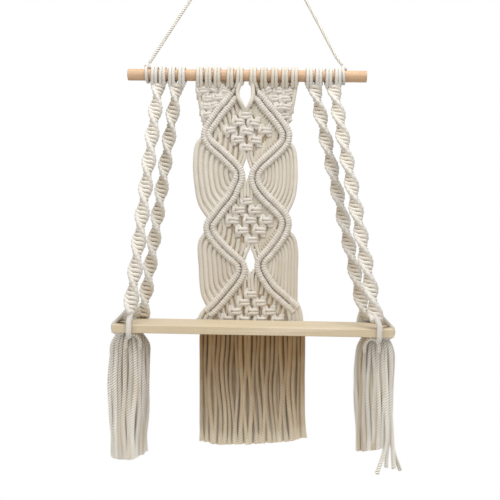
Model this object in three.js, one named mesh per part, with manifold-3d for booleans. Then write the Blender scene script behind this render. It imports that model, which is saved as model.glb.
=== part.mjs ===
// A macrame wall shelf: wooden rod, knotted panel with a fringe, four spiral straps, board and tassels.
// Millimetres, +Z up, +X to the right, -Y toward the viewer. The origin is the hanging point.

import * as THREE from 'three';
import { mergeVertices } from 'three/addons/utils/BufferGeometryUtils.js';
import Module from 'manifold-3d';

const wasm = await Module();
wasm.setup();

// Driving sizes
const gap = 0.3;
const edgeGap = 2.3;
const rod = { length: 393, radius: 9.5, x: -7, z: -270, sides: 20 };
const board = { length: 420, depth: 130, thick: 12, ease: 1, x: 12, back: -10, below: 401.3 };
board.top = rod.z - board.below;
board.under = board.top - board.thick;
board.front = board.back - board.depth;
board.left = board.x - board.length / 2;
board.right = board.x + board.length / 2;

// Materials
const cotton = { color: 0xe4dcca, roughness: 0.95, metalness: 0 };
const pine = { color: 0xdcc9a6, roughness: 0.6, metalness: 0 };
const beech = { color: 0xc9a47c, roughness: 0.5, metalness: 0 };

// A closed body from its corner points and faces, with the faces turned outward
function closedBody(points, faces) {
  let volume = 0;
  for (const [a, b, c] of faces) {
    volume += points[a].dot(new THREE.Vector3().crossVectors(points[b], points[c]));
  }
  const turned = volume < 0 ? faces.map(([a, b, c]) => [a, c, b]) : faces;
  const geometry = new THREE.BufferGeometry();
  geometry.setAttribute('position', new THREE.Float32BufferAttribute(points.flatMap((p) => p.toArray()), 3));
  geometry.setIndex(turned.flat());
  return geometry;
}

// Convex sections with equal numbers of points, joined one to the next and closed at both ends
function loft(sections) {
  const count = sections[0].length;
  const faces = [];
  for (let s = 0; s < sections.length - 1; s += 1) {
    for (let i = 0; i < count; i += 1) {
      const j = (i + 1) % count;
      const near = s * count;
      const far = near + count;
      faces.push([near + i, near + j, far + j], [near + i, far + j, far + i]);
    }
  }
  const last = (sections.length - 1) * count;
  for (let i = 1; i < count - 1; i += 1) {
    faces.push([0, i + 1, i], [last, last + i, last + i + 1]);
  }
  return closedBody(sections.flat(), faces);
}

// A cord along a smooth path, with a regular section
function cordAlong(points, radius, sides, step) {
  const path = new THREE.CatmullRomCurve3(points, false, 'centripetal');
  const section = new THREE.Shape();
  for (let i = 0; i < sides; i += 1) {
    const angle = (2 * Math.PI * (i + 0.5)) / sides;
    const place = [radius * Math.cos(angle), radius * Math.sin(angle)];
    if (i === 0) section.moveTo(...place);
    else section.lineTo(...place);
  }
  section.closePath();
  const steps = Math.max(1, Math.round(path.getLength() / step));
  return new THREE.ExtrudeGeometry(section, { steps, extrudePath: path, bevelEnabled: false });
}

// The solid of a closed geometry, with its shared corners merged
function solidOf(geometry) {
  const bare = geometry.clone();
  bare.deleteAttribute('normal');
  bare.deleteAttribute('uv');
  const merged = mergeVertices(bare, 1e-4);
  const vertProperties = new Float32Array(merged.attributes.position.array);
  const triVerts = new Uint32Array(merged.index.array);
  return new wasm.Manifold(new wasm.Mesh({ numProp: 3, vertProperties, triVerts }));
}

// One body from many that meet
function joined(geometries) {
  let solid = solidOf(geometries[0]);
  for (const geometry of geometries.slice(1)) solid = solid.add(solidOf(geometry));
  const mesh = solid.getMesh();
  const geometry = new THREE.BufferGeometry();
  geometry.setAttribute('position', new THREE.Float32BufferAttribute(mesh.vertProperties, 3));
  geometry.setIndex(Array.from(mesh.triVerts));
  return geometry;
}

const shelf = new THREE.Group();

function addPiece(name, geometry, look) {
  const piece = new THREE.Mesh(geometry, new THREE.MeshStandardMaterial(look));
  piece.name = name;
  shelf.add(piece);
  return piece;
}

// A point given by its x, its depth below the rod's centre and its y
function at(x, down, y = 0) {
  return new THREE.Vector3(x, y, rod.z - down);
}

// Wooden rod
function makeRod() {
  const half = rod.length / 2;
  const profile = [
    new THREE.Vector2(0, -half),
    new THREE.Vector2(rod.radius, -half),
    new THREE.Vector2(rod.radius, half),
    new THREE.Vector2(0, half),
  ];
  const geometry = new THREE.LatheGeometry(profile, rod.sides);
  geometry.rotateZ(Math.PI / 2);
  addPiece('rod', geometry, beech).position.set(rod.x, 0, rod.z);
}

// Wooden board with eased edges
function makeBoard() {
  const width = board.length - 2 * board.ease;
  const depth = board.depth - 2 * board.ease;
  const outline = new THREE.Shape();
  outline.moveTo(-width / 2, -depth / 2);
  outline.lineTo(width / 2, -depth / 2);
  outline.lineTo(width / 2, depth / 2);
  outline.lineTo(-width / 2, depth / 2);
  outline.closePath();
  const geometry = new THREE.ExtrudeGeometry(outline, {
    depth: board.thick - 2 * board.ease,
    bevelThickness: board.ease,
    bevelSize: board.ease,
    bevelSegments: 1,
  });
  const piece = addPiece('board', geometry, pine);
  piece.position.set(board.x, (board.front + board.back) / 2, board.under + board.ease);
}

// A lark's head on the rod: its two turns of cord side by side, as one closed band with a groove
const lark = { segments: 8, width: 10.4, thick: 4.6, groove: 1.7 };
lark.inner = (rod.radius + gap) / Math.cos(Math.PI / lark.segments);
lark.outer = lark.inner + lark.thick;

function larksHead(x, width = lark.width) {
  const profile = [
    new THREE.Vector2(lark.inner, -width / 2),
    new THREE.Vector2(lark.outer, -width / 4),
    new THREE.Vector2(lark.outer - lark.groove, 0),
    new THREE.Vector2(lark.outer, width / 4),
    new THREE.Vector2(lark.inner, width / 2),
    new THREE.Vector2(lark.inner, -width / 2),
  ];
  const geometry = new THREE.LatheGeometry(profile, lark.segments, Math.PI / lark.segments);
  geometry.rotateZ(Math.PI / 2);
  geometry.translate(x, 0, rod.z);
  return geometry;
}

// The panel's sizes. Its strands run from the lark's heads through bars and knots to the lower edge.
const strand = { radius: 2.5, sides: 4, step: 22, perSide: 10, pair: 2.6, start: 16, loose: 2 };
const headBar = { down: 15.6, y: -3, width: 6.4, thick: 9, over: 7 };
const bar = { width: 21.5, thick: 9, ridge: 13, notch: 0.8, groove: 0.7, over: 4 };
const knot = { width: 20, height: 17.4, thick: 9, waist: 0.6, outerCord: 8, innerCord: 3, spacing: 5 };

const panelLarks = {
  left: [-84.1, -69.9, -55.4, -34.1, -18.4],
  right: [71.2, 55.7, 38.6, 21, 3.4],
};

// The double bars: the outer and the inner end of each, as x and depth below the rod
const bars = {
  left: [
    { outer: [-73.5, 94], inner: [-28, 33] },
    { outer: [-73.5, 105], inner: [-18, 160] },
    { outer: [-64, 244], inner: [-19, 172] },
    { outer: [-63, 257], inner: [-13, 309] },
    { outer: [-76, 403], inner: [-12, 327] },
  ],
  right: [
    { outer: [59, 92], inner: [9, 32] },
    { outer: [57, 108], inner: [12, 157] },
    { outer: [59, 237], inner: [9, 177] },
    { outer: [58, 254], inner: [21, 306] },
    { outer: [86, 394], inner: [22, 319] },
  ],
};

// The diamonds: their rows of square knots, and where the innermost strands meet above and part below
const diamonds = [
  {
    meet: [-8, 53],
    part: [-5.5, 136],
    rows: [
      { down: 65, xs: [-8.4] },
      { down: 77, xs: [-19.3, 6.4] },
      { down: 91, xs: [-33.1, -6, 23] },
      { down: 106, xs: [-19.6, 9.7] },
      { down: 120, xs: [-5] },
    ],
  },
  {
    meet: [-5, 171],
    part: [3, 284],
    rows: [
      { down: 207, xs: [-3.6] },
      { down: 222, xs: [-16.6, 10.3] },
      { down: 238.5, xs: [-26.2, 2.1, 28.9] },
      { down: 255, xs: [-11.1, 17.5] },
      { down: 271, xs: [5] },
    ],
  },
  {
    meet: [4, 329],
    rows: [
      { down: 360, xs: [5.6] },
      { down: 373, xs: [-7, 20] },
      { down: 388, xs: [-20.5, 7.7, 36] },
    ],
  },
];

// Square knots of the top corners, outside the first bars
const cornerKnots = {
  left: [[-79, 27], [-57, 27], [-69, 43], [-76, 59]],
  right: [[64, 27], [43, 27], [54, 43], [61, 59]],
};

// The loose strands outside the bars: widest x of the outermost and the innermost, at their middle depth
const arcs = {
  left: [{ outermost: -91, innermost: -29, down: 163 }, { outermost: -81, innermost: -23, down: 300 }],
  right: [{ outermost: 77, innermost: 21, down: 166 }, { outermost: 80, innermost: 33, down: 312 }],
  strands: 8,
  outerReach: 0.2,
  innerReach: 0.12,
};
const lowerEdge = { left: -78, right: 91, down: 404, height: 18 };

// A bar between two ends, lying in the panel's plane: two ridged rows with a groove between them
function ridgedBar(start, end, width, thick) {
  const along = new THREE.Vector3().subVectors(end, start);
  const length = along.length();
  const steps = 2 * Math.max(2, Math.round(length / bar.ridge));
  const across = new THREE.Vector3(along.z, 0, -along.x).normalize();
  const sections = [];
  for (let s = 0; s <= steps; s += 1) {
    const part = s / steps;
    const size = s % 2 === 0 ? bar.notch : 1;
    const middle = new THREE.Vector3().lerpVectors(start, end, part);
    const section = [];
    for (const [side, face] of [[0, -bar.groove], [1, -1], [1, 1], [0, bar.groove], [-1, 1], [-1, -1]]) {
      const point = middle.clone().addScaledVector(across, (side * width) / 2);
      point.y += (face * size * thick) / 2;
      section.push(point);
    }
    sections.push(section);
  }
  return loft(sections);
}

// The point of a double bar at a part of its way from the outer to the inner end
function barPoint(ends, part) {
  const outer = at(...ends.outer);
  const inner = at(...ends.inner);
  return new THREE.Vector3().lerpVectors(outer, inner, part);
}

function doubleBar(ends) {
  const outer = at(...ends.outer);
  const inner = at(...ends.inner);
  const over = new THREE.Vector3().subVectors(inner, outer).setLength(bar.over);
  return ridgedBar(outer.sub(over), inner.add(over), bar.width, bar.thick);
}

// A square knot: two rungs, one above the other, drawn in at the waist between them
function squareKnot(x, down) {
  const sections = [];
  for (const [level, size] of [[-0.5, 1], [0, knot.waist], [0.5, 1]]) {
    const halfWidth = ((knot.width / 2) * (1 + size)) / 2;
    const halfThick = (size * knot.thick) / 2;
    const depth = down + level * knot.height;
    sections.push([
      at(x - halfWidth, depth, -halfThick),
      at(x + halfWidth, depth, -halfThick),
      at(x + halfWidth, depth, halfThick),
      at(x - halfWidth, depth, halfThick),
    ]);
  }
  return loft(sections);
}

function panelStrand(points) {
  return cordAlong(points, strand.radius, strand.sides, strand.step);
}

// Where a strand crosses a bar, as a part of the way from the bar's outer to its inner end
function crossing(index) {
  return (index + 0.5) / strand.perSide;
}

// The corner outside the first bar: the ridge under the lark's heads, square knots, and strands to the bar
function topCorner(side, sign) {
  const pieces = [];
  const heads = panelLarks[side];
  const knots = cornerKnots[side];
  for (let i = 0; i < strand.perSide; i += 1) {
    const turn = sign * (i % 2 === 0 ? -strand.pair : strand.pair);
    let start = at(heads[Math.floor(i / 2)] + turn, strand.start);
    if (i < 4) start = at(knots[3][0] + sign * knot.spacing * (i - 1.5), knots[3][1]);
    else if (i < 6) start = at(knots[1][0] + turn, knots[1][1]);
    pieces.push(panelStrand([start, barPoint(bars[side][0], crossing(i))]));
  }
  for (const [x, down] of knots) pieces.push(squareKnot(x, down));
  const outerEnd = at(heads[0] - sign * headBar.over, headBar.down, headBar.y);
  const innerEnd = at(heads[4] + sign * headBar.over, headBar.down, headBar.y);
  pieces.push(ridgedBar(outerEnd, innerEnd, headBar.width, headBar.thick));
  return pieces;
}

// Strands inside a diamond on one side, from the upper bar to the knots and on to the lower bar
function diamondStrands(diamond, upper, lower, sign) {
  const pieces = [];
  const outerKnot = (row) => (sign > 0 ? row.xs[0] : row.xs[row.xs.length - 1]);
  const spread = (index) => -sign * (index % 2 === 0 ? knot.outerCord : knot.innerCord);
  for (let row = 0; row < 3; row += 1) {
    const pair = strand.perSide - 2 - 2 * row;
    for (const index of [pair, pair + 1]) {
      const innermost = index === strand.perSide - 1;
      const above = diamond.rows[row];
      const points = [barPoint(upper, crossing(index)), at(outerKnot(above) + spread(index), above.down)];
      if (innermost) points.splice(1, 0, at(diamond.meet[0] - sign * strand.pair, diamond.meet[1]));
      pieces.push(panelStrand(points));
      if (lower) {
        const below = diamond.rows[4 - row];
        const foot = [at(outerKnot(below) + spread(index), below.down), barPoint(lower, crossing(index))];
        if (innermost) foot.splice(1, 0, at(diamond.part[0] - sign * strand.pair, diamond.part[1]));
        pieces.push(panelStrand(foot));
      }
    }
  }
  return pieces;
}

// Strands in a diamond's side corner, which pass no knot
function looseStrands(upper, lower, sign) {
  const pieces = [];
  for (let index = 1; index < 4; index += 1) {
    const start = barPoint(upper, crossing(index));
    const end = barPoint(lower, crossing(index));
    const middle = new THREE.Vector3().lerpVectors(start, end, 0.5);
    middle.x -= sign * strand.loose;
    pieces.push(panelStrand([start, middle, end]));
  }
  return pieces;
}

// Strands outside the bars, in nested arcs from one diamond to the next
function arcStrands(upper, lower, arc) {
  const pieces = [];
  for (let index = 0; index < arcs.strands; index += 1) {
    const start = barPoint(upper, crossing(index));
    const end = barPoint(lower, crossing(index));
    const part = index / (arcs.strands - 1);
    const x = THREE.MathUtils.lerp(arc.outermost, arc.innermost, part);
    const reach = THREE.MathUtils.lerp(arcs.outerReach, arcs.innerReach, part) * (start.z - end.z);
    const upperBend = new THREE.Vector3(x, 0, rod.z - arc.down + reach);
    const lowerBend = new THREE.Vector3(x, 0, rod.z - arc.down - reach);
    pieces.push(panelStrand([start, upperBend, lowerBend, end]));
  }
  return pieces;
}

function makePanel() {
  const pieces = [];
  for (const [side, sign] of [['left', 1], ['right', -1]]) {
    const own = bars[side];
    for (const x of panelLarks[side]) pieces.push(larksHead(x));
    for (const ends of own) pieces.push(doubleBar(ends));
    pieces.push(...topCorner(side, sign));
    pieces.push(...diamondStrands(diamonds[0], own[0], own[1], sign));
    pieces.push(...diamondStrands(diamonds[1], own[2], own[3], sign));
    pieces.push(...diamondStrands(diamonds[2], own[4], null, sign));
    pieces.push(...looseStrands(own[0], own[1], sign));
    pieces.push(...looseStrands(own[2], own[3], sign));
    pieces.push(...arcStrands(own[1], own[2], arcs[side][0]));
    pieces.push(...arcStrands(own[3], own[4], arcs[side][1]));
  }
  for (const diamond of diamonds) {
    for (const row of diamond.rows) {
      for (const x of row.xs) pieces.push(squareKnot(x, row.down));
    }
  }
  const { left, right, down, height } = lowerEdge;
  pieces.push(ridgedBar(at(left, down), at(right, down), height, bar.thick));
  addPiece('panel', joined(pieces), cotton);
}

// The fringe: strands fused only at a narrow strip, a gap below the panel's lower edge
const fringe = {
  count: 24,
  left: -78,
  right: 93,
  strip: 7,
  thick: 6,
  over: 3,
  radius: 2.7,
  sides: 3,
  step: 30,
  wave: 1.3,
  sway: 2,
  shift: 3,
  bends: [440, 475, 510, 545, 575],
  foot: { longest: 605, rise: 14, peak: 0.375, uneven: 3 },
};
fringe.top = lowerEdge.down + lowerEdge.height / 2 + gap;

// Each strand waves a little, drifts to the right on its way down and ends on a shallow curve
function makeFringe() {
  const { foot } = fringe;
  const middle = fringe.top + fringe.strip / 2;
  const start = at(fringe.left - fringe.over, middle);
  const end = at(fringe.right + fringe.over, middle);
  const strip = new THREE.BoxGeometry(end.x - start.x, fringe.thick, fringe.strip);
  strip.translate((start.x + end.x) / 2, 0, rod.z - middle);
  const pieces = [strip];
  for (let i = 0; i < fringe.count; i += 1) {
    const part = i / (fringe.count - 1);
    const x = THREE.MathUtils.lerp(fringe.left, fringe.right, part);
    const cut = foot.longest - foot.rise * (2 * (part - foot.peak)) ** 2 + foot.uneven * Math.sin(5 * i);
    const points = [];
    for (const down of [middle, ...fringe.bends, cut]) {
      const drift = fringe.shift * ((down - middle) / (foot.longest - middle)) ** 2;
      const wave = fringe.wave * Math.sin(down / 24 + 0.9 * Math.sin(2 * i));
      points.push(at(x + wave + drift, down, fringe.sway * Math.sin(2.4 * i + down / 40)));
    }
    points[0].setY(0);
    pieces.push(cordAlong(points, fringe.radius, fringe.sides, fringe.step));
  }
  addPiece('fringe', joined(pieces), cotton);
}

// The straps: spirals of half knots, each hung on two lark's heads, whose cords end as legs round the board
const strap = { halfWidth: 10.3, halfThick: 6.2, start: 14, end: 386, notch: 0.84, ridges: 3 };
const leg = { radius: 3.2, sides: 4, step: 12, from: 18, under: 0.5, ease: 1 };
leg.low = board.under - leg.under - leg.radius;
leg.corner = board.under - edgeGap - leg.radius;
const straps = [
  { name: 'strap_left_front', larks: [-158.8, -145.7], foot: [-171.5, -135], narrow: 37, turn: 43.2, end: -106 },
  { name: 'strap_left_back', larks: [-130, -113.6], foot: [-171, -14], narrow: 39, turn: 43, end: -47 },
  { name: 'strap_right_back', larks: [95.6, 111], foot: [191, -14], narrow: 43, turn: 42.5, end: -40 },
  { name: 'strap_right_front', larks: [127.3, 142.4], foot: [196.5, -135], narrow: 44.6, turn: 39.5, end: -101 },
];

// The tassels: a ridged head under the board, with strands in two rings that stand apart below it
const tassel = {
  y: -75,
  headWidth: 42,
  headDepth: 34,
  headHeight: 15,
  ridges: 14,
  ridge: 0.9,
  levels: [[0, 0.72], [0.35, 0.96], [1, 1]],
  radius: 2.9,
  sides: 3,
  step: 50,
  root: 0.72,
  shoulder: 0.9,
  rings: [{ count: 15, size: 1 }, { count: 8, size: 0.52 }],
};
const tassels = [
  { name: 'tassel_left', x: -181.5, halfWidth: 30.5, halfDepth: 21, cut: 618, slant: 5, long: [] },
  {
    name: 'tassel_right',
    x: 200.7,
    halfWidth: 28,
    halfDepth: 20,
    cut: 591,
    slant: -4,
    long: [
      { index: 11, cut: 627, swing: -17 },
      { index: 12, cut: 620, swing: 1 },
      { index: 13, cut: 624, swing: 14 },
    ],
  },
];

function spiral(row) {
  const top = at((row.larks[0] + row.larks[1]) / 2, strap.start, -2);
  const foot = at(row.foot[0], strap.end, row.foot[1]);
  const step = row.turn / (2 * strap.ridges);
  const steps = Math.round((strap.end - strap.start) / step);
  const sections = [];
  for (let s = 0; s <= steps; s += 1) {
    const part = s / steps;
    const middle = new THREE.Vector3().lerpVectors(top, foot, part);
    const down = rod.z - middle.z;
    const angle = (Math.PI * (down - row.narrow)) / row.turn;
    const size = s % 2 === 0 ? strap.notch : 1;
    const section = [];
    for (const [wide, thick] of [[-1, 0], [-0.5, -1], [0.5, -1], [1, 0], [0.5, 1], [-0.5, 1]]) {
      const u = wide * strap.halfWidth * size;
      const v = thick * strap.halfThick * size;
      const x = u * Math.sin(angle) + v * Math.cos(angle);
      const y = -u * Math.cos(angle) + v * Math.sin(angle);
      section.push(new THREE.Vector3(middle.x + x, middle.y + y, middle.z));
    }
    sections.push(section);
  }
  return loft(sections);
}

// A leg over the board's front or back edge and under it to the tassel
function edgeLeg(row, head) {
  const [x, y] = row.foot;
  const out = y < tassel.y ? -1 : 1;
  const edge = out < 0 ? board.front : board.back;
  const clear = edge + out * (edgeGap + leg.radius);
  const towards = head.x > x ? 1 : -1;
  const points = [
    new THREE.Vector3(x, y, board.top + leg.from),
    new THREE.Vector3(x, clear - out * leg.ease, board.top + 4),
    new THREE.Vector3(x, clear, board.top - board.thick / 2),
    new THREE.Vector3(x, clear - out * 0.6, board.under - 2),
    new THREE.Vector3(x, edge - out * leg.ease, leg.corner),
    new THREE.Vector3(x + towards * 2, edge - out * 12, leg.low),
    new THREE.Vector3(x + towards * 5, tassel.y + out * (tassel.headDepth / 2 + 2.5), leg.low),
  ];
  return cordAlong(points, leg.radius, leg.sides, leg.step);
}

// A leg over the board's end and under it to the tassel
function endLeg(row, head) {
  const [x, y] = row.foot;
  const out = x < board.x ? -1 : 1;
  const edge = out < 0 ? board.left : board.right;
  const clear = edge + out * (edgeGap + leg.radius);
  const reach = Math.sign(row.end - head.y);
  const points = [
    new THREE.Vector3(x, y, board.top + leg.from),
    new THREE.Vector3(edge, row.end + (y - row.end) * 0.1, board.top + 6.4),
    new THREE.Vector3(clear, row.end, board.top - leg.ease),
    new THREE.Vector3(clear, row.end, board.under - leg.ease),
    new THREE.Vector3(edge - out * leg.ease, row.end - reach * 2, leg.corner),
    new THREE.Vector3(edge - out * 9, row.end - reach * 4, leg.low),
    new THREE.Vector3(head.x + out * 9, head.y + reach * (tassel.headDepth / 2 + 4), leg.low),
  ];
  return cordAlong(points, leg.radius, leg.sides, leg.step);
}

function makeStrap(row) {
  const head = { x: row.foot[0] < board.x ? tassels[0].x : tassels[1].x, y: tassel.y };
  const pieces = [...row.larks.map((x) => larksHead(x)), spiral(row), edgeLeg(row, head), endLeg(row, head)];
  addPiece(row.name, joined(pieces), cotton);
}

// The ridged head, drawn in under the board
function tasselHead(row, top) {
  const sections = [];
  for (const [level, size] of tassel.levels) {
    const section = [];
    for (let i = 0; i < tassel.ridges; i += 1) {
      const angle = (2 * Math.PI * i) / tassel.ridges;
      const ridge = size * (i % 2 === 0 ? 1 : tassel.ridge);
      const x = row.x + (tassel.headWidth / 2) * ridge * Math.cos(angle);
      const y = tassel.y + (tassel.headDepth / 2) * ridge * Math.sin(angle);
      section.push(new THREE.Vector3(x, y, top - level * tassel.headHeight));
    }
    sections.push(section);
  }
  return loft(sections);
}

// A strand from inside the head to its own place in the ring; across and deep run from -1 to 1
function tasselStrand(row, base, across, deep, cut, swing) {
  const place = (spreadX, spreadY, z) =>
    new THREE.Vector3(row.x + spreadX * across, tassel.y + spreadY * deep, z);
  const rootWidth = (tassel.root * tassel.headWidth) / 2;
  const rootDepth = (tassel.root * tassel.headDepth) / 2;
  const points = [
    place(rootWidth, rootDepth, base + 3),
    place(tassel.shoulder * row.halfWidth, tassel.shoulder * row.halfDepth, base - 14),
    place(row.halfWidth, row.halfDepth, base - 45),
    place(row.halfWidth, row.halfDepth, rod.z - Math.min(cut, row.cut) + 30),
    place(row.halfWidth, row.halfDepth, rod.z - cut),
  ];
  points[4].x += swing;
  return cordAlong(points, tassel.radius, tassel.sides, tassel.step);
}

function makeTassel(row) {
  const top = board.under - gap;
  const pieces = [tasselHead(row, top)];
  for (const ring of tassel.rings) {
    for (let i = 0; i < ring.count; i += 1) {
      const angle = (2 * Math.PI * (i + 0.5)) / ring.count;
      const across = ring.size * Math.cos(angle);
      const deep = ring.size * Math.sin(angle);
      const evenCut = row.cut - row.slant * across - 2 * Math.abs(across);
      const long = ring.size === 1 ? row.long.find((entry) => entry.index === i) : undefined;
      const { cut, swing } = long ?? { cut: evenCut, swing: 0 };
      pieces.push(tasselStrand(row, top - tassel.headHeight, across, deep, cut, swing));
    }
  }
  addPiece(row.name, joined(pieces), cotton);
}

// The hanging cord: one cord from end to end of the rod, over the hanging point
const hanger = { radius: 3, sides: 8, step: 15, knotSides: 7, knotRings: 4 };
const hangerRoute = [
  [-168.4, -250.5], [-150, -221.6], [-130, -190], [-110, -158.5], [-90, -127], [-70, -95.4],
  [-50, -63.9], [-30, -32.3], [-16, -10.2], [-10.8, -2.2], [-7.4, 1], [-0.7, 3], [6, 1],
  [9.8, -2.8], [16, -14.1], [32, -43.2], [52, -79.5], [72, -115.9], [92, -152.3],
  [112, -188.6], [130, -221.4], [139.5, -238.3], [149.5, -251.3],
];

// The cord's turns round the rod, with the knot on top of them
const hitches = [
  { name: 'hitch_left', x: -175.2, width: 13, knotX: -171.1, knotRadius: 5 },
  { name: 'hitch_right', x: 152.3, width: 6.6, knotX: 152, knotRadius: 3.8 },
];

function makeHanger() {
  const points = hangerRoute.map(([x, z]) => new THREE.Vector3(x, 0, z));
  addPiece('hanger_cord', cordAlong(points, hanger.radius, hanger.sides, hanger.step), cotton);
  for (const row of hitches) {
    const lump = new THREE.SphereGeometry(row.knotRadius, hanger.knotSides, hanger.knotRings);
    lump.translate(row.knotX, 0, rod.z + lark.outer);
    addPiece(row.name, joined([larksHead(row.x, row.width), lump]), cotton);
  }
}

makeRod();
makeBoard();
makePanel();
makeFringe();
for (const row of straps) makeStrap(row);
for (const row of tassels) makeTassel(row);
makeHanger();

export default shelf;
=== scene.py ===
# A macrame wall shelf: cotton cords on a wooden rod, with a knotted panel, spiral straps, a board,
# a fringe and tassels. Tables are in millimetres: x to the right, y away from the viewer,
# and down is the depth below the rod's centre.

import bpy
import numpy as np
from mathutils import Matrix, Vector


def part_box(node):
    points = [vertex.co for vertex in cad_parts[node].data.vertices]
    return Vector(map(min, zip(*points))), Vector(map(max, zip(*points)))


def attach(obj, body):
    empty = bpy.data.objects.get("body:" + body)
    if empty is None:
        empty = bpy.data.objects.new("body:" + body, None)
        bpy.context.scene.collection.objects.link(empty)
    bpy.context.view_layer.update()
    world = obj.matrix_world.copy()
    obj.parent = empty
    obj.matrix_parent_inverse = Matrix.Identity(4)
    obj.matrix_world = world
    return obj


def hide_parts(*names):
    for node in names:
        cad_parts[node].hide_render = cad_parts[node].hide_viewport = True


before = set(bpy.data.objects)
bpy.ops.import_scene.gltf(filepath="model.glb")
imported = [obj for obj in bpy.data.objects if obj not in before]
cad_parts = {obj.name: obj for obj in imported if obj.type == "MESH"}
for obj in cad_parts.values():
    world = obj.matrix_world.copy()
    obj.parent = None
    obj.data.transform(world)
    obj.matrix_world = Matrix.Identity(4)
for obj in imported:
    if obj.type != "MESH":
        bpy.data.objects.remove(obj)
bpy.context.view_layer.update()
mm = 0.001
chance = np.random.default_rng(11)


def boxOf(node):
    # the lowest and the highest corner of a node, in millimetres
    low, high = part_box(node)
    return np.array(low) / mm, np.array(high) / mm


rodLow, rodHigh = boxOf("rod")
boardLow, boardHigh = boxOf("board")
rodZ = (rodLow[2] + rodHigh[2]) / 2
rodRadius = (rodHigh[2] - rodLow[2]) / 2
boardMiddle = (boardLow + boardHigh) / 2


def at(x, down, y=0.0):
    return np.array([x, y, rodZ - down], float)


def mixed(low, high, part):
    return low + (high - low) * part


# The camera stands in front of the shelf, a little above its board, and leans by under a degree
camera = {
    "place": (0.0499, -1.4240, -0.5568),
    "turned": 1.905,
    "leaning": 0.8625,
    "lens": 62.352,
}


def makeCamera():
    turned = np.radians(camera["turned"])
    leaning = np.radians(camera["leaning"])
    right = Vector((np.cos(turned), np.sin(turned), 0))
    back = Vector((np.sin(turned), -np.cos(turned), 0))
    up = Vector((0, 0, 1))
    across = right * np.cos(leaning) + up * np.sin(leaning)
    upward = up * np.cos(leaning) - right * np.sin(leaning)
    data = bpy.data.cameras.new("camera")
    data.lens = camera["lens"]
    data.sensor_width = 36
    body = bpy.data.objects.new("camera", data)
    turn = Matrix((across, upward, back)).transposed().to_4x4()
    body.matrix_world = Matrix.Translation(camera["place"]) @ turn
    bpy.context.scene.collection.objects.link(body)
    bpy.context.scene.camera = body


makeCamera()
print("camera placed")


class Link:
    # a wrapped socket: an expression on it adds the Math nodes that it needs
    def __init__(self, recipe, socket):
        self.recipe = recipe
        self.socket = socket

    def maths(self, operation, first, second=0.0):
        return self.recipe.node("ShaderNodeMath", {"operation": operation}, {0: first, 1: second})

    def __add__(self, other):
        return self.maths("ADD", self, other)

    def __sub__(self, other):
        return self.maths("SUBTRACT", self, other)

    def __rsub__(self, other):
        return self.maths("SUBTRACT", other, self)

    def __mul__(self, other):
        return self.maths("MULTIPLY", self, other)

    __radd__ = __add__
    __rmul__ = __mul__

    def power(self, other):
        return self.maths("POWER", self, other)

    def sine(self):
        return self.maths("SINE", self)

    def cosine(self):
        return self.maths("COSINE", self)

    def size(self):
        return self.maths("ABSOLUTE", self)

    def kept(self):
        return self.recipe.node("ShaderNodeClamp", {}, {0: self})


class Recipe:
    # a material's node tree and the ways to add to it
    def __init__(self, name):
        self.material = bpy.data.materials.new(name)
        self.material.use_nodes = True
        self.tree = self.material.node_tree
        self.tree.nodes.clear()

    def node(self, kind, settings, links, out=0):
        made = self.tree.nodes.new(kind)
        for key, value in settings.items():
            setattr(made, key, value)
        for key, value in links.items():
            socket = made.inputs[key]
            if isinstance(value, Link):
                self.tree.links.new(value.socket, socket)
            else:
                socket.default_value = value
        return Link(self, made.outputs[out] if made.outputs else None)

    def colour(self, low, high, part):
        # the colour that lies between two others, by a part from 0 to 1
        ends = {0: part, 6: asColour(low), 7: asColour(high)}
        return self.node("ShaderNodeMix", {"data_type": "RGBA"}, ends, 2)

    def place(self):
        return self.node("ShaderNodeTexCoord", {}, {}, 3)

    def stretched(self, vector, scale):
        links = {0: vector, "Scale": scale}
        return self.node("ShaderNodeMapping", {"vector_type": "POINT"}, links)

    def noise(self, vector, scale, detail=2.0, rough=0.5):
        links = {"Vector": vector, "Scale": scale, "Detail": detail, "Roughness": rough}
        return self.node("ShaderNodeTexNoise", {}, links)

    def axes(self, vector):
        parts = self.node("ShaderNodeSeparateXYZ", {}, {0: vector})
        return [Link(self, socket) for socket in parts.socket.node.outputs]

    def bump(self, height, distance):
        return self.node("ShaderNodeBump", {}, {"Height": height, "Distance": distance})

    def finish(self, settings):
        shader = self.node("ShaderNodeBsdfPrincipled", {}, settings)
        self.node("ShaderNodeOutputMaterial", {}, {"Surface": shader})
        return self.material


def asColour(value):
    # a colour given as the 0 to 255 numbers of a screen, turned to linear light
    if isinstance(value, Link):
        return value
    screen = np.array(value) / 255
    linear = np.where(screen <= 0.04045, screen / 12.92, ((screen + 0.055) / 1.055) ** 2.4)
    return (*linear, 1.0)


# Cotton: three plies wound round each other, loose fibres, and painted shade, warmer and darker, down
# between the plies
cotton = {
    "pitch": 12.4, "plies": 3, "plyDepth": 0.0006, "fibreDepth": 0.00012,
    "fibreStretch": (4.0, 4.0, 1.2), "fibreScale": 2.4, "fibreRough": 0.65, "blotchScale": 60.0,
    "fibreTone": 0.9, "blotchTone": 0.5, "cordTone": 0.28, "middleTone": 0.62,
    "roughness": 0.92, "shine": 0.2, "sheen": 0.25, "sheenRoughness": 0.6,
    "lobe": 0.27, "flareLength": 26, "endRise": 0.6,
}
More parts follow.
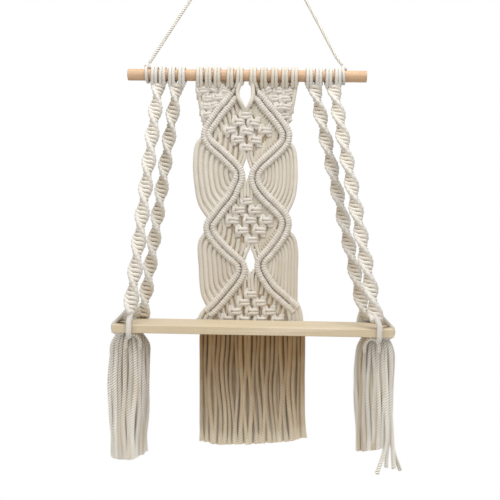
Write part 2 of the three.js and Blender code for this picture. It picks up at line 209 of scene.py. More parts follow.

# Each finish has three colours, the third the painted shade between the plies, how deep its plies lie,
# and how dark that painted shade makes the lines between them
cottonColumns = ("pale", "cream", "valleyShade", "ply", "lines")
cottonLooks = {
    "twisted_rope": ((252, 249, 242), (224, 216, 203), (138, 121, 97), 0.8, 1.0),
    "cotton_cord": ((211, 205, 194), (192, 183, 167), (166, 152, 130), 0.4, 0.6),
    "knotted_cord": ((208, 203, 195), (195, 187, 175), (174, 160, 139), 0.15, 0.3),
    "strap_cord": ((208, 205, 199), (198, 193, 184), (184, 171, 150), 0.3, 0.5),
    # the rungs' browner cream and valley are painted shade, where the rungs lie between the ridges
    "strap_rung_shaded": ((213, 208, 198), (187, 172, 149), (166, 148, 121), 0.3, 0.4),
    "shaded_cord": ((211, 205, 194), (183, 159, 126), (143, 119, 88), 0.4, 0.4),
    # the tassels' inner ropes are browner as painted shade inside the bundle
    "tassel_core_shaded": ((214, 202, 183), (190, 176, 152), (150, 132, 106), 0.5, 0.7),
    # the fringe's brown cream and valley are painted shadow of the board; fringe_shade is painted shade for
    # the layer behind
    "fringe_rope": ((238, 226, 203), (186, 152, 105), (112, 82, 48), 0.8, 0.9),
    "fringe_shade": ((211, 203, 189), (150, 117, 76), (120, 90, 56), 0.3, 0.5),
}


def makeCotton(name):
    # the map gives the turn round the cord and the run along it in centimetres; a ply's line is where
    # the cosine of its turn is nought, and the fibres' noise lies on the cord's own cylinder
    look = dict(zip(cottonColumns, cottonLooks[name]))
    recipe = Recipe(name)
    place = recipe.node("ShaderNodeUVMap", {"uv_map": "cordPlace"}, {})
    spin, run, _ = recipe.axes(place)
    tint = recipe.node("ShaderNodeAttribute", {"attribute_name": "tint"}, {}, 2)
    ply = ((spin - run * (10 / cotton["pitch"])) * (cotton["plies"] * np.pi)).cosine().size()
    turned = spin * (2 * np.pi)
    cylinder = {0: turned.cosine(), 1: turned.sine(), 2: run * 3 + tint * 9}
    onCord = recipe.stretched(recipe.node("ShaderNodeCombineXYZ", {}, cylinder), cotton["fibreStretch"])
    fibres = recipe.noise(onCord, cotton["fibreScale"], 3.0, cotton["fibreRough"]) - 0.5
    blotches = recipe.noise(recipe.place(), cotton["blotchScale"], 2.0) - 0.5
    tones = fibres * cotton["fibreTone"] + blotches * cotton["blotchTone"]
    # the tint brings each cord's own tone, and painted shade on the back layers, the strap rungs and the
    # fringe
    tones = (tones + tint * cotton["cordTone"] + cotton["middleTone"]).kept()
    outer = recipe.colour(look["cream"], look["pale"], tones)
    # the valley colour is painted shade, laid where the plies meet
    shade = recipe.colour(look["valleyShade"], outer, (ply * 1.5 + (1 - look["lines"])).kept())
    height = ply * look["ply"] + fibres * (cotton["fibreDepth"] / cotton["plyDepth"])
    return recipe.finish(
        {
            "Base Color": shade,
            "Roughness": cotton["roughness"],
            "Specular IOR Level": cotton["shine"],
            "Sheen Weight": cotton["sheen"],
            "Sheen Roughness": cotton["sheenRoughness"],
            "Normal": recipe.bump(height, cotton["plyDepth"]),
        }
    )


def makeWood(name, look):
    # long grain lines along x, where a sine of the noise peaks, with pores and a slow change of tone;
    # a pore is dark where its noise is above 0.56
    recipe = Recipe(name)
    place = recipe.place()
    slow = recipe.noise(recipe.stretched(place, look["slow"]), 1.0, 3.0)
    lines = recipe.noise(recipe.stretched(place, look["lines"]), 1.0, 4.0, 0.6)
    pores = recipe.noise(recipe.stretched(place, look["pores"]), 1.0, 2.0, 0.7)
    rings = ((lines * look["rings"] + slow * 6).sine() * 0.5 + 0.5).power(2)
    part = (rings * 0.55 + slow * 0.6 - 0.15).kept()
    base = recipe.colour(look["dark"], look["light"], part)
    marks = ((pores - 0.56) * 6).kept() * look["poreShade"]
    shade = recipe.colour(base, look["deep"], marks)
    height = (1 - marks) * 0.6 + rings * 0.4
    return recipe.finish(
        {
            "Base Color": shade,
            "Roughness": pores * 0.2 + 0.45,
            "Specular IOR Level": 0.35,
            "Normal": recipe.bump(height, look["relief"]),
        }
    )


pineLook = {
    "light": (215, 203, 181),
    "dark": (192, 175, 145),
    "deep": (162, 135, 99),
    "slow": (3.0, 30.0, 30.0),
    "lines": (5.0, 150.0, 150.0),
    "pores": (60.0, 1400.0, 1400.0),
    "rings": 14.0,
    "poreShade": 0.5,
    "relief": 0.00012,
}
beechLook = {
    "light": (203, 172, 141),
    "dark": (181, 145, 110),
    "deep": (138, 98, 63),
    "slow": (5.0, 60.0, 60.0),
    "lines": (9.0, 240.0, 240.0),
    "pores": (110.0, 1800.0, 1800.0),
    "rings": 10.0,
    "poreShade": 0.6,
    "relief": 0.00015,
}


def smoothPath(points, step):
    # a centripetal Catmull-Rom curve through the points, cut into even steps
    points = np.asarray(points, float)
    ends = np.vstack([2 * points[0] - points[1], points, 2 * points[-1] - points[-2]])
    gaps = np.sqrt(np.linalg.norm(np.diff(ends, axis=0), axis=1))[:, None]
    a, b, c, d = ends[:-3], ends[1:-2], ends[2:-1], ends[3:]
    before, own, after = gaps[:-2], gaps[1:-1], gaps[2:]
    leave = ((b - a) / before - (c - a) / (before + own) + (c - b) / own) * own
    arrive = ((c - b) / own - (d - b) / (own + after) + (d - c) / after) * own
    t = np.linspace(0, 1, 13)[:-1][None, :, None]
    b, c, leave, arrive = (part[:, None] for part in (b, c, leave, arrive))
    fine = b * (2 * t**3 - 3 * t**2 + 1) + leave * (t**3 - 2 * t**2 + t)
    fine = fine + c * (3 * t**2 - 2 * t**3) + arrive * (t**3 - t**2)
    fine = np.vstack([fine.reshape(-1, 3), points[-1]])
    return evenly(fine, step)


def evenly(path, step):
    # the same path with its points an even step apart
    run = runOf(path)
    places = np.linspace(0, run[-1], max(2, round(run[-1] / step) + 1))
    return np.column_stack([np.interp(places, run, path[:, axis]) for axis in range(3)])


def runOf(path):
    return np.concatenate([[0], np.cumsum(np.linalg.norm(np.diff(path, axis=0), axis=1))])


def unit(vectors):
    return vectors / np.linalg.norm(vectors, axis=-1, keepdims=True)


def carryFrames(paths):
    # the directions along and across each path, carried without twist by double reflection
    longest = max(len(path) for path in paths)
    block = np.empty((len(paths), longest, 3))
    for row, path in zip(block, paths):
        extra = np.arange(1, longest - len(path) + 1)[:, None]
        row[: len(path)] = path
        row[len(path) :] = path[-1] + extra * (path[-1] - path[-2])
    along = unit(np.gradient(block, axis=1))
    across = np.empty_like(block)
    upright = np.abs(along[:, 0, 1:2]) < 0.9
    side = np.where(upright, [[0.0, 1.0, 0.0]], [[1.0, 0.0, 0.0]])
    across[:, 0] = unit(side - (side * along[:, 0]).sum(1, keepdims=True) * along[:, 0])
    for i in range(longest - 1):
        step = block[:, i + 1] - block[:, i]
        size = (step * step).sum(1, keepdims=True)
        carried = across[:, i] - 2 * (step * across[:, i]).sum(1, keepdims=True) / size * step
        ahead = along[:, i] - 2 * (step * along[:, i]).sum(1, keepdims=True) / size * step
        change = along[:, i + 1] - ahead
        size = (change * change).sum(1, keepdims=True)
        across[:, i + 1] = carried - 2 * (change * carried).sum(1, keepdims=True) / size * change
    return along, across, np.cross(along, across)


class Parcel:
    # gathers grids of points into one mesh; a grid has its rows along a cord and its columns round it
    def __init__(self):
        self.points, self.tints = [], []
        self.quads, self.quadPlaces = [], []
        self.caps, self.capPlaces = [], []
        self.count = 0

    def add(self, grids, spins, runs, tints, ring=False, rear=0.0):
        # grids is copies x rows x columns x 3, tints one number a copy or a row, and a ring closes its
        # rows too; rear is added to the tint bit by bit toward the wall side, leaving painted shade on the
        # front side
        copies, rows, columns = grids.shape[:3]
        tints = np.broadcast_to(np.reshape(tints, (copies, -1)), (copies, rows))
        r = np.arange(rows if ring else rows - 1)[:, None]
        c = np.arange(columns)[None, :]
        nextRow, nextColumn = (r + 1) % rows, (c + 1) % columns
        corners = [
            r * columns + c,
            r * columns + nextColumn,
            nextRow * columns + nextColumn,
            nextRow * columns + c,
        ]
        corners = np.stack(corners, axis=-1).reshape(-1, 4)
        each = rows * columns
        starts = self.count + each * np.arange(copies)
        turns = np.arange(columns + 1) / columns
        onwards = ((0, 0), (0, 1), (1, 1), (1, 0))
        spin = [spins[r + down] + turns[c + over] for down, over in onwards]
        run = [runs[r + down] + 0 * c for down, _ in onwards]
        places = np.stack([np.stack(spin, -1), np.stack(run, -1) / 10], -1).reshape(-1, 4, 2)
        self.points.append(grids.reshape(-1, 3))
        behind = grids[..., 1] - grids[..., 1].mean(axis=2, keepdims=True)
        toWall = np.clip(behind.ravel() / behind.max(), 0, 1)
        self.tints.append(np.repeat(tints.ravel(), columns) + rear * toWall)
        self.quads.append((starts[:, None, None] + corners[None]).reshape(-1, 4))
        self.quadPlaces.append(np.tile(places, (copies, 1, 1)))
        self.count += copies * each
        if not ring:
            self.close(grids, starts, tints, spins, runs)

    def close(self, grids, starts, tints, spins, runs):
        # a fan of triangles at each end, from a centre raised a little
        copies, rows, columns = grids.shape[:3]
        c = np.arange(columns)
        for end, inward, order in ((0, 1, (1, 0)), (rows - 1, rows - 2, (0, 1))):
            middle = grids[:, end].mean(axis=1)
            centres = middle + unit(middle - grids[:, inward].mean(axis=1)) * cotton["endRise"]
            index = self.count + np.arange(copies)
            ring = [end * columns + c, end * columns + (c + 1) % columns]
            first = starts[:, None] + ring[order[0]][None]
            second = starts[:, None] + ring[order[1]][None]
            fan = np.stack([np.repeat(index[:, None], columns, 1), first, second], -1)
            edge = np.stack([spins[end] + c / columns, np.full(columns, runs[end] / 10)], -1)
            places = np.stack([edge, edge, np.roll(edge, -1, 0)], 1)
            self.points.append(centres)
            self.tints.append(tints[:, end])
            self.caps.append(fan.reshape(-1, 3))
            self.capPlaces.append(np.tile(places, (copies, 1, 1)))
            self.count += copies

    def piece(self, name, material, slot, *nodes):
        # the finished object, which rides with the shelf and stands for the named nodes
        quads = np.concatenate(self.quads)
        caps = np.concatenate(self.caps) if self.caps else np.empty((0, 3), int)
        starts = [np.arange(len(quads)) * 4, len(quads) * 4 + np.arange(len(caps)) * 3]
        places = [self.quadPlaces, self.capPlaces] if self.caps else [self.quadPlaces]
        places = np.concatenate([np.concatenate(part).reshape(-1, 2) for part in places])
        mesh = bpy.data.meshes.new(name)
        mesh.vertices.add(self.count)
        mesh.vertices.foreach_set("co", (np.concatenate(self.points) * mm).ravel())
        mesh.loops.add(quads.size + caps.size)
        mesh.loops.foreach_set("vertex_index", np.concatenate([quads.ravel(), caps.ravel()]))
        mesh.polygons.add(len(quads) + len(caps))
        mesh.polygons.foreach_set("loop_start", np.concatenate(starts))
        mesh.update(calc_edges=True)
        mesh.shade_smooth()
        mesh.uv_layers.new(name="cordPlace").data.foreach_set("uv", places.ravel())
        tint = mesh.attributes.new("tint", "FLOAT", "POINT")
        tint.data.foreach_set("value", np.concatenate(self.tints))
        mesh.materials.append(material)
        made = bpy.data.objects.new(name, mesh)
        bpy.context.scene.collection.objects.link(made)
        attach(made, "root")
        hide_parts(*nodes)
        print(name, "has", 2 * len(quads) + len(caps), "triangles")
        return made


def addCords(parcel, paths, radius, columns=10, twisted=False, uneven=0.0, tone=None, flare=0.0, rear=0.0):
    # round cords along the paths; a twisted one has a lobe for each ply that winds along it at the pitch,
    # and flare widens the last stretch before a cord's end
    turns = np.arange(columns) / columns
    lobes = 1 - np.abs(np.cos(cotton["plies"] * np.pi * turns))
    size = radius * (1 - cotton["lobe"] * lobes * twisted)
    for path, across, over in zip(paths, *carryFrames(paths)[1:]):
        across, over = across[: len(path)], over[: len(path)]
        run = runOf(path) + chance.uniform(0, 90)
        spin = run / cotton["pitch"] * twisted
        angle = 2 * np.pi * (spin[:, None] + turns[None])[..., None]
        spokes = np.cos(angle) * across[:, None] + np.sin(angle) * over[:, None]
        nearEnd = np.clip(1 - (run[-1] - run) / cotton["flareLength"], 0, 1)
        growth = 1 + chance.uniform(-uneven, uneven) + flare * nearEnd**2
        grid = path[:, None] + growth[:, None, None] * size[None, :, None] * spokes
        tints = tone(path) if tone else chance.uniform(-1, 1, 1)
        parcel.add(grid[None], spin, run, tints, rear=rear)


def wander(path, amount, wave):
    # the path with a slow sideways wave, none at its start
    run = runOf(path)
    rise = np.clip(run / wave, 0, 1)[:, None]
    phases = chance.uniform(0, 2 * np.pi, (2, 3))
    waves = np.sin(run[:, None] / wave + phases[0]) + 0.5 * np.sin(run[:, None] / (0.43 * wave) + phases[1])
    return path + amount * rise * waves * np.array([1.0, 1.0, 0.0])


finishes = {name: makeCotton(name) for name in cottonLooks}
print("cotton finishes made")

# The hanging cord runs from hitch to hitch over the hanging point
hanger = {
    "radius": 3.0,
    "step": 1.2,
    "columns": 12,
    "route": [
        (-168.4, -250.5), (-150, -221.6), (-130, -190), (-110, -158.5), (-90, -127), (-70, -95.4),
        (-50, -63.9), (-30, -32.3), (-16, -10.2), (-10.8, -2.2), (-7.4, 1), (-0.7, 3), (6, 1),
        (9.8, -2.8), (16, -14.1), (32, -43.2), (52, -79.5), (72, -115.9), (92, -152.3),
        (112, -188.6), (130, -221.4), (139.5, -238.3), (149.5, -251.3),
    ],
}


def makeHanger():
    route = smoothPath([(x, 0.0, z) for x, z in hanger["route"]], hanger["step"])
    parcel = Parcel()
    addCords(parcel, [route], hanger["radius"], hanger["columns"], True)
    piece = parcel.piece("hanging_cord", finishes["twisted_rope"], "cotton_cord", "hanger_cord")
    print("hanging cord is", round(float(runOf(route)[-1])), "mm long")


makeHanger()


# The rod and the board: an outline carried along x, with rounded ends
def timberGrid(outline, stations):
    # an outline of y and z at each station of x, drawn in by the station's inset
    middle = outline.mean(axis=0)
    reach = np.abs(outline - middle).max(axis=0)
    drawn = middle + (outline - middle) * (1 - stations[:, 1, None, None] / reach)
    return np.dstack([np.broadcast_to(stations[:, :1], drawn.shape[:2]), drawn])


# Flat faces stay flat because a point lies this close to each rounded edge
flat = 0.5


def easedStations(left, right, ease, count):
    # places along x with a quarter round at both ends, as x and how far the outline is drawn in
    bend = np.linspace(0, np.pi / 2, 5)
    start = np.column_stack([left + ease * (1 - np.sin(bend)), ease * (1 - np.cos(bend))])[::-1]
    middle = np.linspace(left + ease + flat, right - ease - flat, count)
    end = np.column_stack([right - ease * (1 - np.sin(bend)), ease * (1 - np.cos(bend))])
    return np.vstack([start, np.column_stack([middle, 0 * middle]), end])


def makeTimber(name, outline, ends, shape, finish, slot, node):
    stations = easedStations(*ends, shape["ease"], shape["stations"])
    parcel = Parcel()
    parcel.add(timberGrid(outline, stations)[None], 0 * stations[:, 0], stations[:, 0], [0.0])
    return parcel.piece(name, finish, slot, node)


rodShape = {"ease": 1.2, "sides": 48, "stations": 60}
boardShape = {"ease": 0.9, "cornerSteps": 5, "stations": 50}


def makeRod():
    # a circle of points carried along the rod
    angles = -2 * np.pi * np.arange(rodShape["sides"]) / rodShape["sides"]
    outline = rodRadius * np.column_stack([np.cos(angles), np.sin(angles)]) + (0, rodZ)
    beech = makeWood("beech_rod", beechLook)
    return makeTimber("wooden_rod", outline, (rodLow[0], rodHigh[0]), rodShape, beech, "rod_wood", "rod")


def makeBoard():
    # a rectangle with a quarter round at each corner, carried along the board
    ease = boardShape["ease"]
    corners = []
    half = (boardHigh[1:] - boardLow[1:]) / 2 - ease
    for quarter, (y, z) in enumerate([(1, 1), (1, -1), (-1, -1), (-1, 1)]):
        bend = np.pi / 2 * (1 - quarter) - np.linspace(0, np.pi / 2, boardShape["cornerSteps"])
        middle = boardMiddle[1:] + half * (y, z)
        arc = middle + ease * np.column_stack([np.cos(bend), np.sin(bend)])
        onward = flat * np.column_stack([np.sin(bend), -np.cos(bend)])
        corners.append(np.vstack([arc[:1] - onward[:1], arc, arc[-1:] + onward[-1:]]))
    ends = (boardLow[0], boardHigh[0])
    pine = makeWood("pine_board", pineLook)
    return makeTimber("wooden_board", np.vstack(corners), ends, boardShape, pine, "board_wood", "board")


makeRod()
makeBoard()


# A lark's head: two tails over the rod's front, down its back and forward under it to the bight
lark = {
    "radius": 2.75, "step": 1.8, "tail": 2.8, "end": 20.0, "endY": -4.5, "wide": 4.6, "bight": 15.6,
    "bightY": -5.6, "innerLean": 4.5,
    "turns": ((180, 2.7), (135, 2.8), (90, 3.1), (45, 3.5), (0, 3.9), (-45, 4.3), (-90, 4.6)),
}


def larkPath(x, lean=0.0):
    # half of it as distance from its middle, down and y, then the same mirrored; the turns round the rod
    # are given by their angle in degrees and that distance
    reach = rodRadius + lark["radius"]
    tail, end, endY = lark["tail"], lark["end"], lark["endY"]
    half = [(tail, end, endY), (tail, mixed(end, 14.5, 0.5), endY - 2.0), (tail, 13.5, -8.6)]
    half.append((tail, 7.0, -reach * 0.93))
    for degrees, spread in lark["turns"]:
        bend = np.radians(degrees)
        half.append((spread, -reach * np.sin(bend), reach * np.cos(bend)))
    half.append((lark["wide"], reach + 1.4, -2.5))
    half.append((lark["wide"] - 1.2, lark["bight"] - 0.2, lark["bightY"] + 1.2))
    leans = [lean, 0.5 * lean, 0.2 * lean] + [0.0] * (len(half) - 3)
    left = [at(x - spread + shift, down, y) for shift, (spread, down, y) in zip(leans, half)]
    right = [at(x + spread + shift, down, y) for shift, (spread, down, y) in zip(leans, half)]
    return smoothPath(left + [at(x, lark["bight"], lark["bightY"])] + right[::-1], lark["step"])


panelLarks = {"left": [-84.1, -69.9, -55.4, -34.1, -18.4], "right": [71.2, 55.7, 38.6, 21.0, 3.4]}

# The zigzag of the double bars on each side, as x and down along the line between their two rows
zigzags = {
    "left": [
        (-29, 34), (-38, 46), (-50, 60), (-59, 73), (-67, 84), (-73, 94), (-73, 104), (-65, 114),
        (-50, 126), (-34, 141), (-24, 151), (-18, 161), (-18, 171), (-23, 184), (-30, 200), (-45, 219),
        (-57, 236), (-64, 247), (-63, 258), (-51, 275), (-35, 291), (-20, 304), (-12.5, 312), (-12, 325),
        (-18, 337), (-31, 354), (-45, 371), (-57, 384), (-64, 391),
    ],
    "right": [
        (10, 33), (16, 38), (24, 49), (40, 67), (50, 80), (58, 94), (57, 108), (43, 125), (28, 139),
        (16, 151), (10, 161), (9, 173), (15, 187), (28, 202), (44, 217), (57, 232), (60, 243), (57, 256),
        (46, 275), (33, 292), (22, 305), (21, 317), (27, 330), (41, 350), (55, 362), (68, 373.5),
        (78, 382.5),
    ],
}
hitch = {
    "pitch": 4.0, "row": 5.5, "bend": 2.85, "cord": 2.65, "slant": 0.22, "around": 12, "columns": 8,
    "y": -2.6, "core": 2.4, "coreY": 1.5,
}

# Where the double bars begin and end on each side, as x and down of the outer and the inner end
bars = {
    "left": [
        ((-73.5, 94), (-28, 33)), ((-73.5, 105), (-18, 160)), ((-64, 244), (-19, 172)),
        ((-63, 257), (-13, 309)), ((-70, 397), (-12, 327)),
    ],
    "right": [
        ((59, 92), (9, 32)), ((57, 108), (12, 157)), ((59, 237), (9, 177)),
        ((58, 254), (21, 306)), ((82, 388), (22, 319)),
    ],
}

# Where a row of turns is drawn in, by its side and row: the second row at the first left corner
tucks = {("left", -1): {"place": (-73, 99), "depth": 3.4, "reach": 16.0}}
lowerEdge = {"left": -76.0, "right": 90.0, "down": 409.0, "y": 1.5}


def addHitches(parcel, line, side, tuck=None):
    # one row of closed turns round an axis that runs beside the line, a turn of cord every pitch;
    # within a tuck's reach of its place, a bell curve draws the row in by up to its depth
    line = evenly(line, 1.0)
    along = unit(np.gradient(line, axis=0))
    beside = np.cross(along, [0.0, 1.0, 0.0])
    inward = np.zeros(len(line))
    if tuck:
        far = np.linalg.norm(line - at(*tuck["place"], hitch["y"]), axis=1)
        inward = tuck["depth"] * np.exp(-((far / tuck["reach"]) ** 2))
    axis = evenly(line + side * (hitch["row"] - inward)[:, None] * beside, hitch["pitch"])
    along = unit(np.gradient(axis, axis=0))
    beside = np.cross(along, [0.0, 1.0, 0.0])
    count = len(axis)
    alpha = 2 * np.pi * np.arange(hitch["around"]) / hitch["around"]
    beta = 2 * np.pi * np.arange(hitch["columns"]) / hitch["columns"]
    bend = hitch["bend"] + chance.uniform(-0.2, 0.2, count)
    cosA, sinA = np.cos(alpha)[None, :, None, None], np.sin(alpha)[None, :, None, None]
    out = cosA * beside[:, None, None] + sinA * np.array([0.0, 1.0, 0.0])
    across = -along[:, None, None]
    reach = bend[:, None, None, None] + hitch["cord"] * np.cos(beta)[None, None, :, None]
    lean = hitch["slant"] * side * cosA * bend[:, None, None, None]
    grids = axis[:, None, None] + reach * out + across * (hitch["cord"] * np.sin(beta)[:, None] + lean)
    runs = 2 * np.pi * hitch["bend"] * np.arange(hitch["around"] + 1) / hitch["around"]
    parcel.add(grids, 0 * runs, runs, chance.uniform(-1, 1, count), ring=True)
    return axis


def makeBars():
    # two rows of turns along each zigzag and one along the lower edge, with the cords that run inside them
    parcel = Parcel()
    cores = []
    for side in ("left", "right"):
        line = smoothPath([at(x, down, hitch["y"]) for x, down in zigzags[side]], 1.0)
        cores += [addHitches(parcel, line, turn, tucks.get((side, turn))) for turn in (1, -1)]
        cores.append(evenly(line, 3.0) + (0, hitch["coreY"] - hitch["y"], 0))
    down = lowerEdge["down"] - hitch["row"]
    edge = [at(lowerEdge[end], down, lowerEdge["y"]) for end in ("left", "right")]
    cores.append(addHitches(parcel, smoothPath(edge, 1.0), -1))
    addCords(parcel, cores, hitch["core"], 8)
    return parcel.piece("panel_bars", finishes["knotted_cord"], "cotton_cord", "panel")


# A square knot: two rungs, one above the other, and four upright cords through and beside them.
# Each cord's points are across, out toward the viewer, and up
knotShape = {
    "y": 0.3, "depth": 0.85, "step": 1.8, "columns": 10, "radius": 3.1, "shaky": 0.15,
    "cords": [
        [
            (-6, -1, 4), (-4.6, 2.6, 3.1), (-1, 4, 2.7), (4, 3.9, 2.6), (7.4, 2.2, 2.5), (9, -0.4, 2.2),
            (7, -3, 2),
        ],
        [
            (7, -3, -2), (9, -0.4, -2.3), (7.4, 2.2, -2.5), (4, 3.9, -2.6), (-1, 4, -2.7), (-4.6, 2.6, -3.1),
            (-6, -1, -4),
        ],
        [(-9.5, -1, 10), (-8, 1.4, 6), (-9, 3.2, 2.4), (-9, 3.2, -2.4), (-8, 1.4, -6), (-9.5, -1, -10)],
        [(9.5, -0.5, 10), (7.8, 0.4, 5.6), (8.2, -1.6, 0), (7.8, 0.4, -5.6), (9.5, -0.5, -10)],
        [(-7, 0, 9.8), (-3.4, 0.9, 5.2), (-2.6, -0.6, 0), (-3.4, 0.9, -5.2), (-7, 0, -9.8)],
        [(7, 0, 9.8), (3.4, 0.9, 5.2), (2.6, -0.6, 0), (3.4, 0.9, -5.2), (7, 0, -9.8)],
    ],
}

# The diamonds' knots, in rows of a depth and the knots' x, and how far askew they sit
diamonds = [
    {
        "askew": 0.13,
        "rows": [(65, [-8.4]), (77, [-19.3, 6.4]), (91, [-33.1, -6, 23]), (106, [-19.6, 9.7]), (120, [-5])],
    },
    {
        "askew": 0.05,
        "rows": [
            (207, [-3.6]), (222, [-16.6, 10.3]), (238.5, [-26.2, 2.1, 28.9]), (255, [-11.1, 17.5]),
            (271, [5]),
        ],
    },
    {"askew": 0.07, "rows": [(360, [5.6]), (373, [-7, 20]), (388, [-20.5, 7.7, 36])]},
]
cornerKnots = {
    "askew": 0.2, "size": 0.86, "y": -1.5,
    "left": [
        (-80, 26), (-62, 25), (-44, 24), (-71, 38.5), (-53.5, 37.5), (-72.5, 52), (-58, 50.5), (-72, 65.5),
    ],
    "right": [(63, 26), (46, 25), (29, 24), (56, 38.5), (39.5, 37), (60, 52.5), (47.5, 50.5), (60, 67)],
}
lowKnots = {"askew": 0.07, "down": 402.0, "xs": [-33.5, -6.5, 21.5, 50.0]}


def knotPaths(x, down, askew, size=1.0, y=0.0):
    # the cords of one square knot, each point a little off and the whole turned askew as a hand ties it
    turn = chance.normal(0, askew)
    centre = at(x, down, knotShape["y"] + y) + chance.normal(0, 5 * askew, 3)
    paths = []
    for cord in knotShape["cords"]:
        off = chance.normal(0, knotShape["shaky"] + askew, (len(cord), 3))
        across, out, up = (np.array(cord, float) * size + off).T
        right = across * np.cos(turn) + up * np.sin(turn)
        upward = up * np.cos(turn) - across * np.sin(turn)
        points = np.column_stack([right, -out * knotShape["depth"], upward])
        paths.append(smoothPath(centre + points, knotShape["step"]))
    return paths


def makeSquares():
    # the knots of the diamonds, of the row above the lower edge and of the top corners
    paths = []
    for diamond in diamonds:
        for down, xs in diamond["rows"]:
            paths += [path for x in xs for path in knotPaths(x, down, diamond["askew"])]
    for x in lowKnots["xs"]:
        paths += knotPaths(x, lowKnots["down"], lowKnots["askew"])
    for side in ("left", "right"):
        for x, down in cornerKnots[side]:
            paths += knotPaths(x, down, cornerKnots["askew"], cornerKnots["size"], cornerKnots["y"])
    parcel = Parcel()
    addCords(parcel, paths, knotShape["radius"], knotShape["columns"])
    return parcel.piece("panel_squares", finishes["knotted_cord"], "cotton_cord", "panel")


# The panel's plain strands between its bars and knots, and the layer of strands behind them, coloured
# darker and browner as painted shade in the openings
strand = {
    "step": 2.2, "y": 1.2, "first": 0.06, "span": 0.85, "leave": 13.0, "length": 31.0,
    "lean": 0.28, "upperLean": 0.2, "cornerRadius": 3.4,
    # behindTint and the shaded finish paint the layer behind as shade, and rear makes its wall side pale
    # again
    "behind": 5.2, "behindRadius": 3.2, "behindY": 4.3, "cornerY": 2.0, "behindTint": -1.0, "rear": 3.5,
    "low": {"count": 7, "bend": 0.3, "radius": 3.1},
    "sides": {
        "left": {"sign": 1, "count": 6, "bend": 0.25, "radius": 3.6, "tint": 0.0},
        "right": {"sign": -1, "count": 11, "bend": 1.0, "radius": 2.9, "tint": -1.5},
    },
}

# The loose strands' nested arcs: the outermost and innermost x, how far down the widest place is,
# and the parts of the upper and the lower bar that they leave and reach
arcs = {
    "left": [
        {"outermost": -89.6, "innermost": -30, "peak": 0.3, "upper": (0.04, 1.04), "lower": (0.04, 0.94)},
        {"outermost": -79.6, "innermost": -25, "peak": 0.17, "upper": (0.04, 1.0), "lower": (0.04, 0.84)},
    ],
    "right": [
        {"outermost": 75.8, "innermost": 21, "peak": 0.4, "upper": (0.04, 1.0), "lower": (0.04, 0.95)},
        {"outermost": 78.4, "innermost": 32, "peak": 0.25, "upper": (0.04, 1.0), "lower": (0.04, 0.95)},
    ],
}
arcShape = {"behindY": 3.4, "left": {"count": 8, "radius": 4.2}, "right": {"count": 10, "radius": 3.4}}


def along(ends, part, y=0.0):
    # the point at a part of the way from the inner to the outer end of a bar
    (outerX, outerDown), (innerX, innerDown) = ends
    return at(mixed(innerX, outerX, part), mixed(innerDown, outerDown, part), y)


def diamondPaths(upper, lower, shape):
    # strands that leave a bar squarely, or lean over at once, and end under the diamond's knots
    paths = []
    for ends, turn in ((upper, 1), (lower, -1)) if lower else ((upper, 1),):
        slope = unit(along(ends, 1.0) - along(ends, 0.0))
        square = np.cross(slope, [0.0, 1.0, 0.0])
        square = square * -turn * np.sign(square[2])
        upright = np.array([0.0, 0.0, -turn])
        lean = strand["lean"] + strand["upperLean"] * (turn > 0)
        straight = unit(upright + (shape["sign"] * lean, 0.0, 0.0))
        leaving = strand["leave"] * mixed(straight, square, shape["bend"])
        ending = strand["length"] * unit(mixed(straight, upright, 0.5 * shape["bend"]))
        for k in range(shape["count"]):
            part = strand["first"] + (strand["span"] - 0.05 * turn) * k / shape["count"]
            start = along(ends, part, strand["y"])
            middle, end = start + leaving, start + ending
            paths.append([start, middle, (middle + end) / 2 + (0, 0.4, 0), end + (0, 1.0, 0)])
    return paths


# Strands that edge the open lenses and fan out between two diamonds, as x and down: the first comes from
# the rod and dives behind the knots, and those that start low down are thicker
lens = {
    "radius": 2.9, "fanRadius": 3.9, "fanFrom": 360, "y": -1.3, "rodY": -7.5, "diveFrom": 45, "dive": 0.5,
}
lensStrands = {
    "left": [
        [(-15.6, 9), (-18.5, 17), (-21.2, 26), (-20.8, 35), (-15.5, 46), (-11, 56), (-10, 70)],
        [(-14, 152), (-11.5, 144), (-8.6, 136), (-9, 122)],
        [(-19, 146), (-15, 138), (-12.5, 128), (-12, 116)],
        [(-11.5, 166), (-8.4, 172), (-7.4, 184), (-7.4, 200)],
        [(-15, 172), (-13, 182), (-12.5, 196), (-12, 204)],
        [(-7, 302), (-4, 292), (-0.2, 284), (0, 270)], [(-13, 296), (-9, 287), (-5, 277), (-4, 266)],
        [(-2.2, 318), (0.6, 328), (1.6, 340), (2.6, 354)], [(-8, 320), (-5.5, 332), (-5, 344), (-4, 356)],
        [(-68, 384), (-74, 392), (-78, 401), (-79, 409)], [(-62, 390), (-67, 396), (-70, 403), (-71, 409)],
        [(-54, 386), (-58, 393), (-61, 401), (-62, 409)],
    ],
    "right": [
        [(0.6, 9), (2.6, 17), (3.8, 26), (3.6, 35), (0.0, 46), (-5.2, 56), (-6, 70)],
        [(3, 152), (0.5, 144), (-2.4, 136), (-2, 122)], [(8, 146), (4, 138), (1.5, 128), (1, 116)],
        [(1.5, 166), (-1.6, 172), (-2, 184), (-1.6, 200)], [(5, 172), (3.6, 182), (4, 196), (4, 204)],
        [(13, 302), (10, 292), (6.4, 284), (7, 270)], [(19, 296), (15, 287), (12, 277), (11, 266)],
        [(10.2, 318), (7.4, 328), (7, 340), (8.4, 354)], [(17, 320), (13.5, 332), (13, 344), (14, 356)],
        [(80, 372), (85, 384), (87.5, 396), (88, 409)], [(76, 374), (80, 386), (82, 398), (82.5, 409)],
        [(70, 374), (74, 386), (76, 398), (76, 409)], [(62, 372), (67, 384), (69.5, 397), (70, 409)],
    ],
}


def lensPath(points):
    fromRod = points[0][1] < 20
    y = lens["rodY"] if fromRod else lens["y"]
    dive = lens["dive"] * fromRod
    return [at(x, down, y + dive * max(0.0, down - lens["diveFrom"])) for x, down in points]


